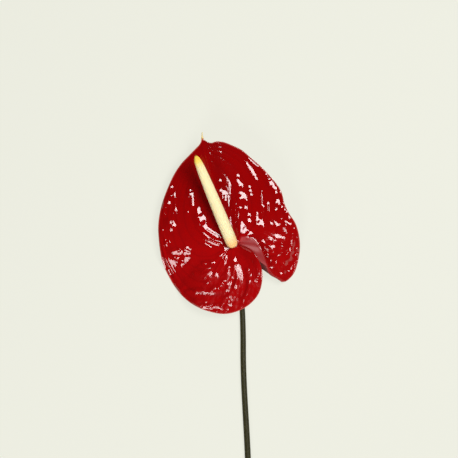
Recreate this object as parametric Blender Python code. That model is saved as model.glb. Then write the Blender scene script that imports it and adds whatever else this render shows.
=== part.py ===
"""A cut anthurium flower lying face up: stem, heart-shaped spathe and spadix.

The blade's spine points along +Y, leaning a little to -X, and the stem lies along -Y.
Lengths in the tables are in millimetres and turns in degrees.
Heights are above the surface that the flower lies on.
"""

import math

import bmesh
import bpy
import numpy as np
from mathutils import Vector

MM = 0.001

# The spathe is a polar blade: rays run from a collar round the stem's top out to the margin.
SPINE_TURN = 15.0       # the spine, its ray to the tip, leans this far from +Y towards -X
COLLAR_RADIUS = 4.2
COLLAR_HEIGHT = 16.0    # upper face of the blade at the collar
LEFT_COLLAR_LIFT = 0.8  # by the sinus the collar's left end lies over its right end
RIGHT_COLLAR_LIFT = -1.6
COLLAR_LIFT_TURNED = (0.5, 0.95)
COLLAR_SHIFT = (0.9, 3.4)  # the collar sits off the rays' centre, under the spadix's foot
COLLAR_SHIFT_REACH = 30.0
BLADE_THICKNESS = 0.9
COLLAR_THICKENING = 0.8
COLLAR_FADE = 6.0
REST_FLATNESS = 0.15    # where the lower face is this near the surface, it lies flat on it

# The margin of each half, from the sinus round to the tip, as seen from above.
# Each row: turn from the spine, reach, height of the margin, crown.
# The crown lifts the blade half way out.
LEFT_MARGIN = (
    (219.0, 32.7, 23.6, 5.0),
    (207.0, 40.0, 20.6, 3.6),
    (195.0, 47.3, 18.4, 2.6),
    (183.0, 52.4, 17.0, 1.6),
    (171.0, 56.3, 16.2, 1.2),
    (159.0, 59.0, 15.6, 1.2),
    (147.0, 59.8, 14.4, 1.2),
    (135.0, 60.7, 12.0, 1.4),
    (125.0, 61.2, 8.0, 2.0),
    (115.0, 61.3, 2.4, 3.0),
    (108.0, 61.3, -0.6, 3.0),
    (101.0, 61.3, -0.9, 3.0),
    (94.0, 61.9, 1.6, 2.4),
    (86.0, 62.4, 5.6, 1.6),
    (78.0, 63.0, 8.0, 1.4),
    (69.0, 64.4, 9.4, 1.4),
    (60.0, 66.8, 10.4, 1.4),
    (45.0, 71.3, 11.8, 1.4),
    (32.4, 76.2, 13.4, 1.4),
    (22.4, 81.8, 15.0, 1.2),
    (15.4, 85.7, 16.2, 1.0),
    (10.0, 88.4, 17.4, 1.0),
    (5.0, 91.7, 18.6, 0.8),
    (2.2, 94.1, 19.4, 0.5),
    (0.8, 96.5, 20.0, 0.5),
    (0.0, 97.9, 20.0, 0.5),
)
RIGHT_MARGIN = (
    (139.5, 54.0, 9.5, 3.0),
    (137.0, 56.8, 7.2, 3.2),
    (133.0, 58.6, 4.2, 3.5),
    (128.0, 60.0, 0.8, 3.8),
    (122.0, 60.3, -0.9, 4.0),
    (116.0, 60.3, -0.6, 4.0),
    (107.0, 60.5, 3.6, 2.5),
    (95.0, 60.3, 10.4, 1.2),
    (84.0, 59.8, 14.4, 0.0),
    (75.0, 58.5, 16.0, -0.2),
    (66.0, 59.9, 16.8, -0.4),
    (57.0, 65.2, 17.4, -0.5),
    (45.0, 70.0, 18.0, -0.5),
    (33.0, 76.1, 18.4, -0.4),
    (27.0, 80.0, 18.6, -0.3),
    (21.0, 85.3, 18.8, 0.0),
    (15.0, 89.2, 19.0, 0.2),
    (9.5, 92.6, 19.2, 0.6),
    (6.6, 93.3, 19.5, 0.6),
    (4.2, 92.7, 19.7, 0.5),
    (2.2, 94.1, 19.9, 0.5),
    (0.8, 96.5, 20.0, 0.5),
    (0.0, 97.9, 20.0, 0.5),
)
HEIGHT_POWER = 1.35     # how late the blade falls towards its margin, away from the sinus
SINUS_TURNED = (0.82, 0.97)     # share of a half's turn over which its height runs straight
HEIGHT_REACH = 94.0     # heights take no notice of the drawn-out tip

# The drawn-out tip goes on from the margin's end as a narrow ribbon.
TAIL_ROOT = 1.3         # half width of its root, along the margin
TAIL_ROWS = ((100.4, 0.5, 0.25, 20.8), (103.2, 0.32, 1.2, 22.2))  # reach, half width, shift, height

# The edge along the sinus, from the collar out to the lobe: reach, turn.
LEFT_EDGE = (
    (COLLAR_RADIUS, 240.0), (8.0, 243.0), (11.7, 244.2), (16.1, 242.4), (20.2, 238.4),
    (24.5, 231.3), (32.7, 219.0),
)
RIGHT_EDGE = (
    (COLLAR_RADIUS, 121.0), (7.0, 125.0), (10.0, 128.5), (15.0, 133.0), (22.0, 136.8),
    (32.0, 139.0), (45.0, 139.5),
)

# The right lobe's edge along the sinus rolls up and over, and ends in a flat flap.
ROLL_RADIUS = 2.3
ROLL_ANGLE = 165.0
ROLL_FLAP = 1.8
ROLL_STRIP = 11.0       # width of the blade that the roll is drawn from
ROLL_SPAN = (13.0, 24.0, 33.0, 49.0)    # reach where it starts, is full, starts to fade, ends
ROLL_POINTS = 9

# Main veins leave the collar at these shares of each half's turn and run to the tip.
LEFT_VEINS = (0.0, 0.16, 0.26, 0.35, 0.46, 0.57, 0.68, 0.80, 0.91, 1.0)
RIGHT_VEINS = (0.0, 0.20, 0.38, 0.56, 0.74, 0.88, 1.0)
VEIN_SWEEP = 2.5        # how soon the veins bend towards the tip
BLISTER_PITCH = 8.0
MARGIN_BLISTER_PITCH = 5.5
BLISTER_RISE = 0.10     # of the space between two veins
MOST_BLISTER_RISE = 0.9
BLISTER_STAGGER = 0.37  # of a pitch, from one strip between veins to the next
BLISTER_SKEW = 2.5      # how far a cell's far end lies further out
BLISTER_SHARE = 0.55    # of the rise that is single blisters, on top of the even ridge
SMOOTH_SPINE_STRIP = 3.0

# A smooth band runs along the sinus of each half, and stands up a little: reach, width.
LEFT_BAND = ((0.0, 4.0), (60.0, 6.0))
RIGHT_BAND = (
    (6.0, 5.0), (10.0, 13.0), (14.0, 17.0), (20.0, 18.5), (24.0, 15.5), (28.0, 11.0), (33.0, 8.0),
    (40.0, 4.0), (44.0, 0.8),
)
BAND_RISE = 0.6
BAND_EDGE = 1.2         # half width of the step at the band's edge
BAND_BLISTER_GAP = 3.0  # blisters are full this far past the band

RING_STEP = 2.75
POINT_STEP = 3.05

SPADIX_LENGTH = 88.0
SPADIX_RISE = 14.0      # above the horizontal
SPADIX_TURN = 22.6      # from +Y towards -X
SPADIX_FOOT = (1.9, 0.0, 20.9)
SPADIX_RADII = (
    (0.0, 1.8), (0.6, 2.9), (1.6, 3.9), (3.2, 4.6), (6.0, 4.95), (12.0, 5.1), (30.0, 5.0), (46.0, 4.75),
    (60.0, 4.35), (70.0, 3.95), (78.0, 3.5), (82.5, 3.0), (85.5, 2.3), (87.3, 1.4), (88.0, 0.6),
)
FLORETS_ROUND = 14
FLORET_ROW = 1.0
FLORET_RISE = 0.34

# The stem's centre line near its swollen top. From there it lies along the surface to its cut end.
STEM_LENGTH = 330.0
STEM_TOP_RADIUS = 2.35
STEM_CUT_RADIUS = 3.0
STEM_TOP_RUN = (
    (10.4, -100.0, 2.62), (10.2, -75.0, 2.75), (9.2, -52.0, 3.4), (6.4, -31.0, 5.2),
    (2.8, -14.5, 7.6), (1.6, -3.4, 10.0), (1.0, 1.9, 12.5), (0.9, 3.4, 15.0),
)
STEM_BOW = 4.5
STEM_CLEARANCE = 0.02
STEM_STEPS = 54
STEM_STEP_CROWDING = 1.7    # the steps crowd towards the swollen top
STEM_SIDES = 14
STEM_CUT_SLANT = 35.0
BUTTON_RADIUS = 3.55
BUTTON_HEIGHT = 5.5
BUTTON_DOME = ((0.82, 0.7), (0.5, 1.2))     # share of the radius, height above the last ring


def clear_scene():
    for obj in list(bpy.data.objects):
        bpy.data.objects.remove(obj)


def material(name, colour, roughness, metallic=0.0):
    made = bpy.data.materials.new(name)
    made.use_nodes = True
    shader = made.node_tree.nodes["Principled BSDF"]
    shader.inputs["Base Color"].default_value = (*colour, 1.0)
    shader.inputs["Roughness"].default_value = roughness
    shader.inputs["Metallic"].default_value = metallic
    return made


def node_object(name, bm, finish, parent):
    """A named object from a bmesh in millimetres."""
    bmesh.ops.scale(bm, vec=(MM, MM, MM), verts=bm.verts)
    mesh = bpy.data.meshes.new(name)
    bm.to_mesh(mesh)
    bm.free()
    mesh.shade_smooth()
    mesh.materials.append(finish)
    obj = bpy.data.objects.new(name, mesh)
    bpy.context.scene.collection.objects.link(obj)
    obj.parent = parent
    return obj


def smooth_step(value, start, end):
    share = min(1.0, max(0.0, (value - start) / (end - start)))
    return share * share * (3.0 - 2.0 * share)


def smooth_rows(rows, places, per_span=12):
    """A smooth curve through table rows, spaced by their distance apart in the given places."""
    rows = np.array(rows, float)
    places = np.array(places, float)
    steps = np.linalg.norm(np.diff(places, axis=0), axis=1)
    along = np.concatenate([[0.0], np.cumsum(steps)])
    slopes = np.gradient(rows, along, axis=0)
    dense, dense_along = [], []
    for i, step in enumerate(steps):
        for k in range(per_span):
            t = k / per_span
            dense.append(
                (1 + 2 * t) * (1 - t) ** 2 * rows[i]
                + t * (1 - t) ** 2 * step * slopes[i]
                + t * t * (3 - 2 * t) * rows[i + 1]
                + t * t * (t - 1) * step * slopes[i + 1]
            )
            dense_along.append(along[i] + t * step)
    dense.append(rows[-1])
    dense_along.append(along[-1])
    return np.array(dense), np.array(dense_along)


def polar_place(turn, reach, sideways):
    """A place at a turn from the spine, and shifted clockwise."""
    heading = math.radians(turn - SPINE_TURN)
    outward = Vector((math.sin(heading), math.cos(heading), 0.0))
    clockwise = Vector((math.cos(heading), -math.sin(heading), 0.0))
    return outward * reach + clockwise * sideways


class HalfBlade:
    """One half of the spathe, from the spine (share 0) round to the sinus (share 1)."""

    def __init__(self, side, margin, edge, band, collar_lift, veins):
        self.side = side
        self.collar_lift = collar_lift
        turns, reaches = np.radians([r[0] for r in margin]), np.array([r[1] for r in margin])
        places = np.column_stack([reaches * np.cos(turns), reaches * np.sin(turns)])
        self.rows, self.along = smooth_rows(margin, places)
        self.length = self.along[-1]
        self.edge_turn = margin[0][0]
        self.edge_reach = margin[0][1]
        self.edge, _ = smooth_rows(edge, [row[:1] for row in edge])
        self.band = np.array(band)
        self.veins = np.array(veins)

    def margin_at(self, share):
        at = self.length * (1.0 - share)
        return [float(np.interp(at, self.along, self.rows[:, k])) for k in range(4)]

    def shares_along(self, out):
        """Where the points of one ring go, closer together where the edge rolls."""
        length = COLLAR_RADIUS * 3.0 + self.length * out
        points = max(10, round(length / POINT_STEP))
        shares = [k / points for k in range(points + 1)]
        if out == 1.0:
            shares.insert(1, TAIL_ROOT / self.length)
        reach = COLLAR_RADIUS + (self.edge_reach - COLLAR_RADIUS) * out
        if self.side > 0 and ROLL_SPAN[0] < reach < ROLL_SPAN[3]:
            start_turn = self.edge_turn - math.degrees(ROLL_STRIP / reach)
            start_along = float(np.interp(-start_turn, -self.rows[:, 0], self.along))
            start = 1.0 - start_along / self.length
            shares = [share for share in shares if share < start - 0.3 / points]
            shares += [start + (1.0 - start) * k / ROLL_POINTS for k in range(ROLL_POINTS + 1)]
        return shares

    def relief(self, turned, out, reach, radial_length):
        """How far the blade bulges between its veins.

        A vein's place is 0 on the spine and 1 on the margin, and the same all along it.
        """
        straying = 1.0 - out ** VEIN_SWEEP
        turned = max(turned, 0.004)
        place = turned ** straying
        grade_out = VEIN_SWEEP * out ** (VEIN_SWEEP - 1) * -math.log(turned) * place
        grade_round = straying * place / turned
        whole_turn = math.radians(self.edge_turn)
        grade = math.hypot(grade_out / radial_length, grade_round / (whole_turn * reach))
        strip = min(int(np.searchsorted(self.veins, place, side="right")), len(self.veins) - 1)
        low, high = self.veins[strip - 1], self.veins[strip]
        width = (high - low) / max(grade, 1e-4)
        across = min(1.0, max(0.0, (place - low) / (high - low)))
        rise = min(BLISTER_RISE * width, MOST_BLISTER_RISE)
        from_sinus = (1.0 - turned) * whole_turn * reach
        from_spine = turned * whole_turn * reach
        band_width = float(np.interp(reach, self.band[:, 0], self.band[:, 1]))
        rise *= smooth_step(from_sinus, band_width - BAND_EDGE, band_width + BAND_BLISTER_GAP)
        rise *= smooth_step(from_spine, 0.0, SMOOTH_SPINE_STRIP)
        pitch = MARGIN_BLISTER_PITCH if strip == len(self.veins) - 1 else BLISTER_PITCH
        cell = (reach + from_sinus * out + BLISTER_SKEW * across) / pitch + BLISTER_STAGGER * strip
        puff = abs(math.sin(math.pi * cell)) ** 0.8
        gore = math.sin(math.pi * across) ** 0.75 if 0.0 < across < 1.0 else 0.0
        band = 1.0 - smooth_step(from_sinus, band_width - BAND_EDGE, band_width + BAND_EDGE)
        return rise * gore * (1.0 - BLISTER_SHARE + BLISTER_SHARE * puff) + BAND_RISE * band

    def roll(self, from_edge, reach):
        """Sideways shift and lift of the rolled edge of the right lobe."""
        start, full, fade, end = ROLL_SPAN
        fullness = smooth_step(reach, start, full) * (1.0 - smooth_step(reach, fade, end))
        if fullness < 0.02 or from_edge > ROLL_STRIP:
            return 0.0, 0.0
        # The fold stays on the flat blade's edge line, so the sheet is stretched to reach past it.
        whole_bend = math.radians(ROLL_ANGLE) * fullness
        flap = ROLL_FLAP * fullness
        before = ROLL_STRIP - ROLL_RADIUS * math.sin(min(whole_bend, math.pi / 2))
        sheet = before + ROLL_RADIUS * whole_bend + flap
        flat_place = ROLL_STRIP - from_edge
        place = sheet * flat_place / ROLL_STRIP
        if place < before:
            return place - flat_place, 0.0
        bend = min((place - before) / ROLL_RADIUS, whole_bend)
        past = max(0.0, place - before - ROLL_RADIUS * whole_bend)
        across = before + ROLL_RADIUS * math.sin(bend) + past * math.cos(bend)
        lift = ROLL_RADIUS * (1.0 - math.cos(bend)) + past * math.sin(bend)
        return across - flat_place, lift

    def point(self, share, out):
        """The upper face at a share of the way round and a share of the way out."""
        turn, margin_reach, margin_height, crown = self.margin_at(share)
        turned = turn / self.edge_turn
        radial_length = margin_reach - COLLAR_RADIUS
        reach = COLLAR_RADIUS + radial_length * out
        edge_turn = float(np.interp(reach, self.edge[:, 0], self.edge[:, 1]))
        swing = (self.edge_turn - edge_turn) * turned ** 3
        power = HEIGHT_POWER - (HEIGHT_POWER - 1.0) * smooth_step(turned, *SINUS_TURNED)
        low_out = (reach - COLLAR_RADIUS) / (min(margin_reach, HEIGHT_REACH) - COLLAR_RADIUS)
        start = COLLAR_HEIGHT + self.collar_lift * smooth_step(turned, *COLLAR_LIFT_TURNED)
        height = start + (margin_height - start) * low_out ** power
        height += crown * math.sin(math.pi * low_out)
        height += self.relief(turned, out, reach, radial_length)
        sideways = 0.0
        if self.side > 0:
            from_edge = math.radians(self.edge_turn - turn) * reach
            sideways, lift = self.roll(from_edge, reach)
            height += lift
        inward = max(0.0, 1.0 - (reach - COLLAR_RADIUS) / (COLLAR_SHIFT_REACH - COLLAR_RADIUS)) ** 2
        place = polar_place((turn - swing) * self.side, reach, sideways * self.side)
        place += Vector((*COLLAR_SHIFT, 0.0)) * inward
        place.z = max(height, BLADE_THICKNESS)
        return place


def stitch(bm, inner, outer):
    """Joins two chains of (share, vertex) with triangles, always taking the nearer next point."""
    i, j = 0, 0
    while i < len(inner) - 1 or j < len(outer) - 1:
        inner_next = inner[i + 1][0] if i < len(inner) - 1 else math.inf
        outer_next = outer[j + 1][0] if j < len(outer) - 1 else math.inf
        if outer_next <= inner_next:
            bm.faces.new((inner[i][1], outer[j][1], outer[j + 1][1]))
            j += 1
        else:
            bm.faces.new((inner[i][1], outer[j][1], inner[i + 1][1]))
            i += 1


def blade_chains(bm, left, right):
    """Chains of (share, vertex) from sinus to sinus, one for each step from collar to margin."""
    widest = max(left.rows[:, 1].mean(), right.rows[:, 1].mean()) - COLLAR_RADIUS
    count = round(widest / RING_STEP) + 1
    chains = []
    for i in range(count + 1):
        out = i / count
        chain = [(-share, left.point(share, out)) for share in left.shares_along(out)[::-1]]
        chain += [(share, right.point(share, out)) for share in right.shares_along(out)[1:]]
        chains.append([(share, bm.verts.new(point)) for share, point in chain])
    return chains


def add_tail(bm, margin_chain):
    """Draws the three points at the tip out into a ribbon."""
    middle = next(i for i, (share, _) in enumerate(margin_chain) if share == 0.0)
    root = margin_chain[middle - 1:middle + 2]
    for reach, half_width, shift, height in TAIL_ROWS:
        row = []
        for side, (share, _) in zip((-1, 0, 1), root):
            place = polar_place(0.0, reach, shift + side * half_width)
            place.z = height
            row.append((share, bm.verts.new(place)))
        stitch(bm, root, row)
        root = row


def thicken(bm):
    """Gives the sheet its lower face, triangle for triangle like the upper one."""
    upper = list(bm.verts)
    normals = [vert.normal.copy() for vert in upper]
    bmesh.ops.extrude_face_region(bm, geom=list(bm.faces), use_keep_orig=True)
    for vert, normal in zip(upper, normals):
        collar_gap = math.hypot(vert.co.x - COLLAR_SHIFT[0], vert.co.y - COLLAR_SHIFT[1]) - COLLAR_RADIUS
        vert.co -= normal * (BLADE_THICKNESS + COLLAR_THICKENING * math.exp(-collar_gap / COLLAR_FADE))
        if vert.co.z < REST_FLATNESS:
            vert.co.z = 0.0
    bmesh.ops.recalc_face_normals(bm, faces=bm.faces)


def make_spathe(finish, parent):
    left = HalfBlade(-1, LEFT_MARGIN, LEFT_EDGE, LEFT_BAND, LEFT_COLLAR_LIFT, LEFT_VEINS)
    right = HalfBlade(1, RIGHT_MARGIN, RIGHT_EDGE, RIGHT_BAND, RIGHT_COLLAR_LIFT, RIGHT_VEINS)
    bm = bmesh.new()
    chains = blade_chains(bm, left, right)
    for inner, outer in zip(chains, chains[1:]):
        stitch(bm, inner, outer)
    add_tail(bm, chains[-1])
    bm.normal_update()
    if sum(face.normal.z for face in bm.faces) < 0.0:
        bmesh.ops.reverse_faces(bm, faces=bm.faces)
    bm.normal_update()
    thicken(bm)
    return node_object("spathe", bm, finish, parent)


def frame_along(tangent):
    """Two directions square to a path that never runs along X."""
    across = Vector((1.0, 0.0, 0.0))
    across = (across - tangent * across.dot(tangent)).normalized()
    return across, tangent.cross(across)


def ring_of(bm, centre, tangent, radius, sides, slant=0.0):
    """One ring of a stem, square to its path, or slanted as a knife leaves it."""
    across, up = frame_along(tangent)
    made = bmesh.ops.create_circle(bm, segments=sides, radius=radius)
    for vert in made["verts"]:
        side_way, up_way = vert.co.x, vert.co.y
        vert.co = centre + across * side_way + up * up_way + tangent * up_way * slant
    return made["verts"]


def edges_between(verts):
    chosen = set(verts)
    return list({edge for vert in verts for edge in vert.link_edges if set(edge.verts) <= chosen})


def stem_path():
    """Centre points and radii from the cut end to the swollen top."""
    start = Vector(STEM_TOP_RUN[0])
    run = STEM_LENGTH - 100.0
    cut = (start.x + STEM_BOW * 0.3, start.y - run, STEM_CUT_RADIUS)
    middle = (start.x + STEM_BOW, start.y - run * 0.45, start.z)
    rows = np.vstack([cut, middle, np.array(STEM_TOP_RUN)])
    dense, along = smooth_rows(rows, rows)
    total = along[-1]
    centres, radii = [], []
    for share in 1.0 - (1.0 - np.linspace(0.0, 1.0, STEM_STEPS)) ** STEM_STEP_CROWDING:
        centre = Vector([np.interp(share * total, along, dense[:, k]) for k in range(3)])
        body = STEM_CUT_RADIUS + (STEM_TOP_RADIUS - STEM_CUT_RADIUS) * share
        swell = smooth_step(BUTTON_HEIGHT - total * (1.0 - share), 0.0, BUTTON_HEIGHT * 0.7)
        centre.z = max(centre.z, body + STEM_CLEARANCE)
        centres.append(centre)
        radii.append(body + (BUTTON_RADIUS - body) * swell)
    return centres, radii


def make_stem(finish, parent):
    bm = bmesh.new()
    centres, radii = stem_path()
    slant = math.tan(math.radians(STEM_CUT_SLANT))
    rings = []
    for i, (centre, radius) in enumerate(zip(centres, radii)):
        before, after = centres[max(i - 1, 0)], centres[min(i + 1, len(centres) - 1)]
        tangent = (after - before).normalized()
        rings.append(ring_of(bm, centre, tangent, radius, STEM_SIDES, slant if i == 0 else 0.0))
    # The swollen top closes as a low dome under the spadix.
    tangent = (centres[-1] - centres[-2]).normalized()
    for share, lift in BUTTON_DOME:
        centre = centres[-1] + tangent * lift
        rings.append(ring_of(bm, centre, tangent, radii[-1] * share, STEM_SIDES))
    for low, high in zip(rings, rings[1:]):
        bmesh.ops.bridge_loops(bm, edges=edges_between(low) + edges_between(high))
    for end in (rings[0], rings[-1]):
        bmesh.ops.contextual_create(bm, geom=edges_between(end))
    bmesh.ops.triangulate(bm, faces=bm.faces)
    bmesh.ops.recalc_face_normals(bm, faces=bm.faces)
    return node_object("stem", bm, finish, parent)


def make_spadix(finish, parent):
    """A tapered spike, its surface raised in spiral rows of diamond florets."""
    rise, turn = math.radians(SPADIX_RISE), math.radians(SPADIX_TURN)
    axis = Vector((-math.sin(turn) * math.cos(rise), math.cos(turn) * math.cos(rise), math.sin(rise)))
    across, up = frame_along(axis)
    foot = Vector(SPADIX_FOOT)
    rows = round(SPADIX_LENGTH / FLORET_ROW)
    stations, radii = zip(*SPADIX_RADII)
    around = 2 * FLORETS_ROUND
    bm = bmesh.new()
    rings = []
    for i in range(rows + 1):
        station = SPADIX_LENGTH * i / rows
        radius = float(np.interp(station, stations, radii))
        rise_here = FLORET_RISE * 0.5 * min(1.0, radius / 4.0)
        ring = []
        for k in range(around):
            reach = radius + (rise_here if (i + k) % 2 == 0 else -rise_here)
            angle = 2.0 * math.pi * k / around
            offset = across * math.cos(angle) * reach + up * math.sin(angle) * reach
            ring.append(bm.verts.new(foot + axis * station + offset))
        rings.append(ring)
    # Each square is split from raised point to raised point, or the florets would not stand out.
    for i, (low, high) in enumerate(zip(rings, rings[1:])):
        for k in range(around):
            a, b = low[k], low[(k + 1) % around]
            c, d = high[(k + 1) % around], high[k]
            if (i + k) % 2 == 0:
                bm.faces.new((a, b, d))
                bm.faces.new((b, c, d))
            else:
                bm.faces.new((a, b, c))
                bm.faces.new((a, c, d))
    for end in (rings[0], rings[-1]):
        bmesh.ops.contextual_create(bm, geom=edges_between(end))
    bmesh.ops.triangulate(bm, faces=[face for face in bm.faces if len(face.verts) > 3])
    bmesh.ops.recalc_face_normals(bm, faces=bm.faces)
    return node_object("spadix", bm, finish, parent)


def centre_on_origin(empty, pieces):
    """Moves the flower so that the middle of its box stands over the origin."""
    corners = np.array([vert.co for piece in pieces for vert in piece.data.vertices])
    low, high = corners.min(axis=0), corners.max(axis=0)
    empty.location = (-(low[0] + high[0]) / 2, -(low[1] + high[1]) / 2, 0.0)


def main():
    clear_scene()
    flower = bpy.data.objects.new("flower", None)
    bpy.context.scene.collection.objects.link(flower)
    red_wax = material("spathe_red", (0.30, 0.004, 0.006), 0.18)
    cream = material("spadix_cream", (0.88, 0.78, 0.46), 0.55)
    green = material("stem_green", (0.05, 0.07, 0.015), 0.4)
    spathe = make_spathe(red_wax, flower)
    spadix = make_spadix(cream, flower)
    stem = make_stem(green, flower)
    centre_on_origin(flower, (spathe, spadix, stem))


main()
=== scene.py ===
import math

import bmesh
import bpy
import numpy as np
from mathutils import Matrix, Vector


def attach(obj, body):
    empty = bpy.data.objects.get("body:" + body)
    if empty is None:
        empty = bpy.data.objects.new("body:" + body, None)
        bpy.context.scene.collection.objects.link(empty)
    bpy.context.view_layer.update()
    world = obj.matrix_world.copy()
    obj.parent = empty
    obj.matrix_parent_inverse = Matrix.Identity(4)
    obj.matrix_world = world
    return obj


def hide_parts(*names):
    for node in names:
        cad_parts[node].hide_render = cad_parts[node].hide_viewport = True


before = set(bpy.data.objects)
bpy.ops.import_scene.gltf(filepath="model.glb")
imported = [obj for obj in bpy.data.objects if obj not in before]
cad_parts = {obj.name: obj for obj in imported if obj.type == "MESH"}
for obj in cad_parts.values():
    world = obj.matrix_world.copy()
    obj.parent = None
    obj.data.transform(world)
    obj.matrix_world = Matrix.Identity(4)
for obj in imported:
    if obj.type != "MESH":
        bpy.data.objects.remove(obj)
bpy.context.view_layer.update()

# Looks of a cut anthurium lying face up: glossy red spathe, cream spadix, dark stem.
# Lengths in the dictionaries are in millimetres and turns in degrees.

mm = 0.001
flowerPlace = np.array((2.021, 115.814, 0.0))


def smoothStep(value, start, end):
    share = np.clip((value - start) / (end - start), 0.0, 1.0)
    return share * share * (3.0 - 2.0 * share)


# A smooth curve through table rows, spaced by their distance apart in the given places.
def smoothRows(rows, places, perSpan=12):
    rows, places = np.array(rows, float), np.array(places, float)
    steps = np.linalg.norm(np.diff(places, axis=0), axis=1)
    along = np.concatenate([[0.0], np.cumsum(steps)])
    slopes = np.gradient(rows, along, axis=0)
    dense, denseAlong = [], []
    for i, step in enumerate(steps):
        for t in np.arange(perSpan) / perSpan:
            dense.append((1 + 2 * t) * (1 - t) ** 2 * rows[i]
                         + t * (1 - t) ** 2 * step * slopes[i]
                         + t * t * (3 - 2 * t) * rows[i + 1]
                         + t * t * (t - 1) * step * slopes[i + 1])
            denseAlong.append(along[i] + t * step)
    return np.array(dense + [rows[-1]]), np.array(denseAlong + [along[-1]])


# A sheet of quads; its points sit at (u, v) from 0 to 1 until they are moved.
def gridSheet(columns, rows):
    bm = bmesh.new()
    bmesh.ops.create_grid(bm, x_segments=columns, y_segments=rows, size=0.5)
    places = np.array([vert.co for vert in bm.verts])
    return bm, places[:, 0] + 0.5, places[:, 1] + 0.5


def moveVerts(verts, places):
    for vert, place in zip(verts, places):
        vert.co = place


# Numbers that the materials read, one for each point of the mesh.
def writeValues(bm, named):
    for key, numbers in named.items():
        layer = bm.verts.layers.float.new(key)
        for vert, number in zip(bm.verts, numbers):
            vert[layer] = number


# The finished mesh in metres, at its place in the frame.
def finishPiece(name, bm, material, node):
    bmesh.ops.translate(bm, vec=flowerPlace, verts=bm.verts)
    bmesh.ops.scale(bm, vec=(mm, mm, mm), verts=bm.verts)
    mesh = bpy.data.meshes.new(name)
    bm.to_mesh(mesh)
    bm.free()
    mesh.shade_smooth()
    mesh.materials.append(material)
    piece = bpy.data.objects.new(name, mesh)
    bpy.context.scene.collection.objects.link(piece)
    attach(piece, "root")
    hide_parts(node)
    print(name, "has", sum(len(face.vertices) - 2 for face in mesh.polygons), "triangles")
    return piece


# A socket that takes part in Python expressions, and the maker of every other node.
class Wire:
    def __init__(self, tree, socket=None):
        self.tree, self.socket = tree, socket

    def make(self, kind, settings={}, inputs={}, output=0):
        node = self.tree.nodes.new(kind)
        for name, value in settings.items():
            setattr(node, name, value)
        for name, value in inputs.items():
            if isinstance(value, Wire):
                self.tree.links.new(value.socket, node.inputs[name])
            else:
                node.inputs[name].default_value = value
        return Wire(self.tree, node.outputs[output])

    def maths(self, operation, first, second):
        return self.make("ShaderNodeMath", {"operation": operation}, {0: first, 1: second})

    def __add__(self, other): return self.maths("ADD", self, other)
    def __radd__(self, other): return self.maths("ADD", other, self)
    def __mul__(self, other): return self.maths("MULTIPLY", self, other)
    def __rmul__(self, other): return self.maths("MULTIPLY", other, self)
    def __truediv__(self, other): return self.maths("DIVIDE", self, other)

    # 0 below the start and 1 above the end, with a soft ramp between
    def between(self, start, end):
        return self.make("ShaderNodeMapRange", {"interpolation_type": "SMOOTHSTEP"},
                         {"Value": self, "From Min": start, "From Max": end})

    # the first colour where this is 0 and the second where it is 1
    def tint(self, low, high):
        inputs = {0: self, 6: low if isinstance(low, Wire) else (*low, 1.0),
                  7: high if isinstance(high, Wire) else (*high, 1.0)}
        return self.make("ShaderNodeMix", {"data_type": "RGBA"}, inputs, 2)

    # a number that writeValues gave to the mesh
    def value(self, name):
        return self.make("ShaderNodeAttribute", {"attribute_name": name}, {}, 2)

    def place(self):
        return self.make("ShaderNodeTexCoord", {}, {}, 3)

    def noise(self, scale, detail=2.0, vector=None):
        return self.make("ShaderNodeTexNoise", {},
                         {"Vector": vector or self.place(), "Scale": scale, "Detail": detail})


def newFinish(name):
    material = bpy.data.materials.new(name)
    material.use_nodes = True
    tree = material.node_tree
    return material, Wire(tree), tree.nodes["Principled BSDF"].inputs


def plug(wire, socket):
    wire.tree.links.new(wire.socket, socket)


# camera, floor and light

studio = {
    "frameCentre": (-2.2, 15.84),  # from the flower's place, under the camera
    "focusHeight": 10.0,
    "cameraDistance": 1500.0,
    "viewWidth": 403.0,            # what the frame shows at the focus height
    "floorSize": 3.2,              # metres
    "floorColour": (0.10, 0.10, 0.09),
    "floorGrain": 2.5,
    "grainShade": 0.97,
    "floorGlow": (0.735, 0.74, 0.655),
    "floorRoughness": 0.9,
    "floorSheen": 0.1,
    "aimHeight": 15.0,
    "lightDistance": 1.25,         # metres
    # each light: degrees from straight up, to the right and away, then its size in metres and its power
    "lights": {"key": ((21.0, 12.0), (0.46, 0.60), 16.0),
               "front": ((-24.0, -52.0), (0.50, 0.45), 8.0)},
    "roomColour": (1.0, 0.99, 0.96),
    "roomLight": 0.02,
}


def addSoftbox(name, tilt, size, power, target):
    data = bpy.data.lights.new(name, "AREA")
    data.shape, data.size, data.size_y = "RECTANGLE", size[0], size[1]
    data.energy = power
    light = bpy.data.objects.new(name, data)
    bpy.context.scene.collection.objects.link(light)
    right, away = (math.radians(turn) for turn in tilt)
    heading = Vector((math.tan(right), math.tan(away), 1.0)).normalized()
    light.location = target + heading * studio["lightDistance"]
    light.rotation_euler = (target - light.location).to_track_quat("-Z", "Y").to_euler()


def addCamera():
    centre = flowerPlace[:2] + np.array(studio["frameCentre"])
    camera = bpy.data.objects.new("camera", bpy.data.cameras.new("camera"))
    bpy.context.scene.collection.objects.link(camera)
    camera.location = (*(centre * mm), (studio["focusHeight"] + studio["cameraDistance"]) * mm)
    camera.data.lens = camera.data.sensor_width * studio["cameraDistance"] / studio["viewWidth"]
    bpy.context.scene.camera = camera
    bpy.context.scene.view_settings.view_transform = "Standard"


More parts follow.
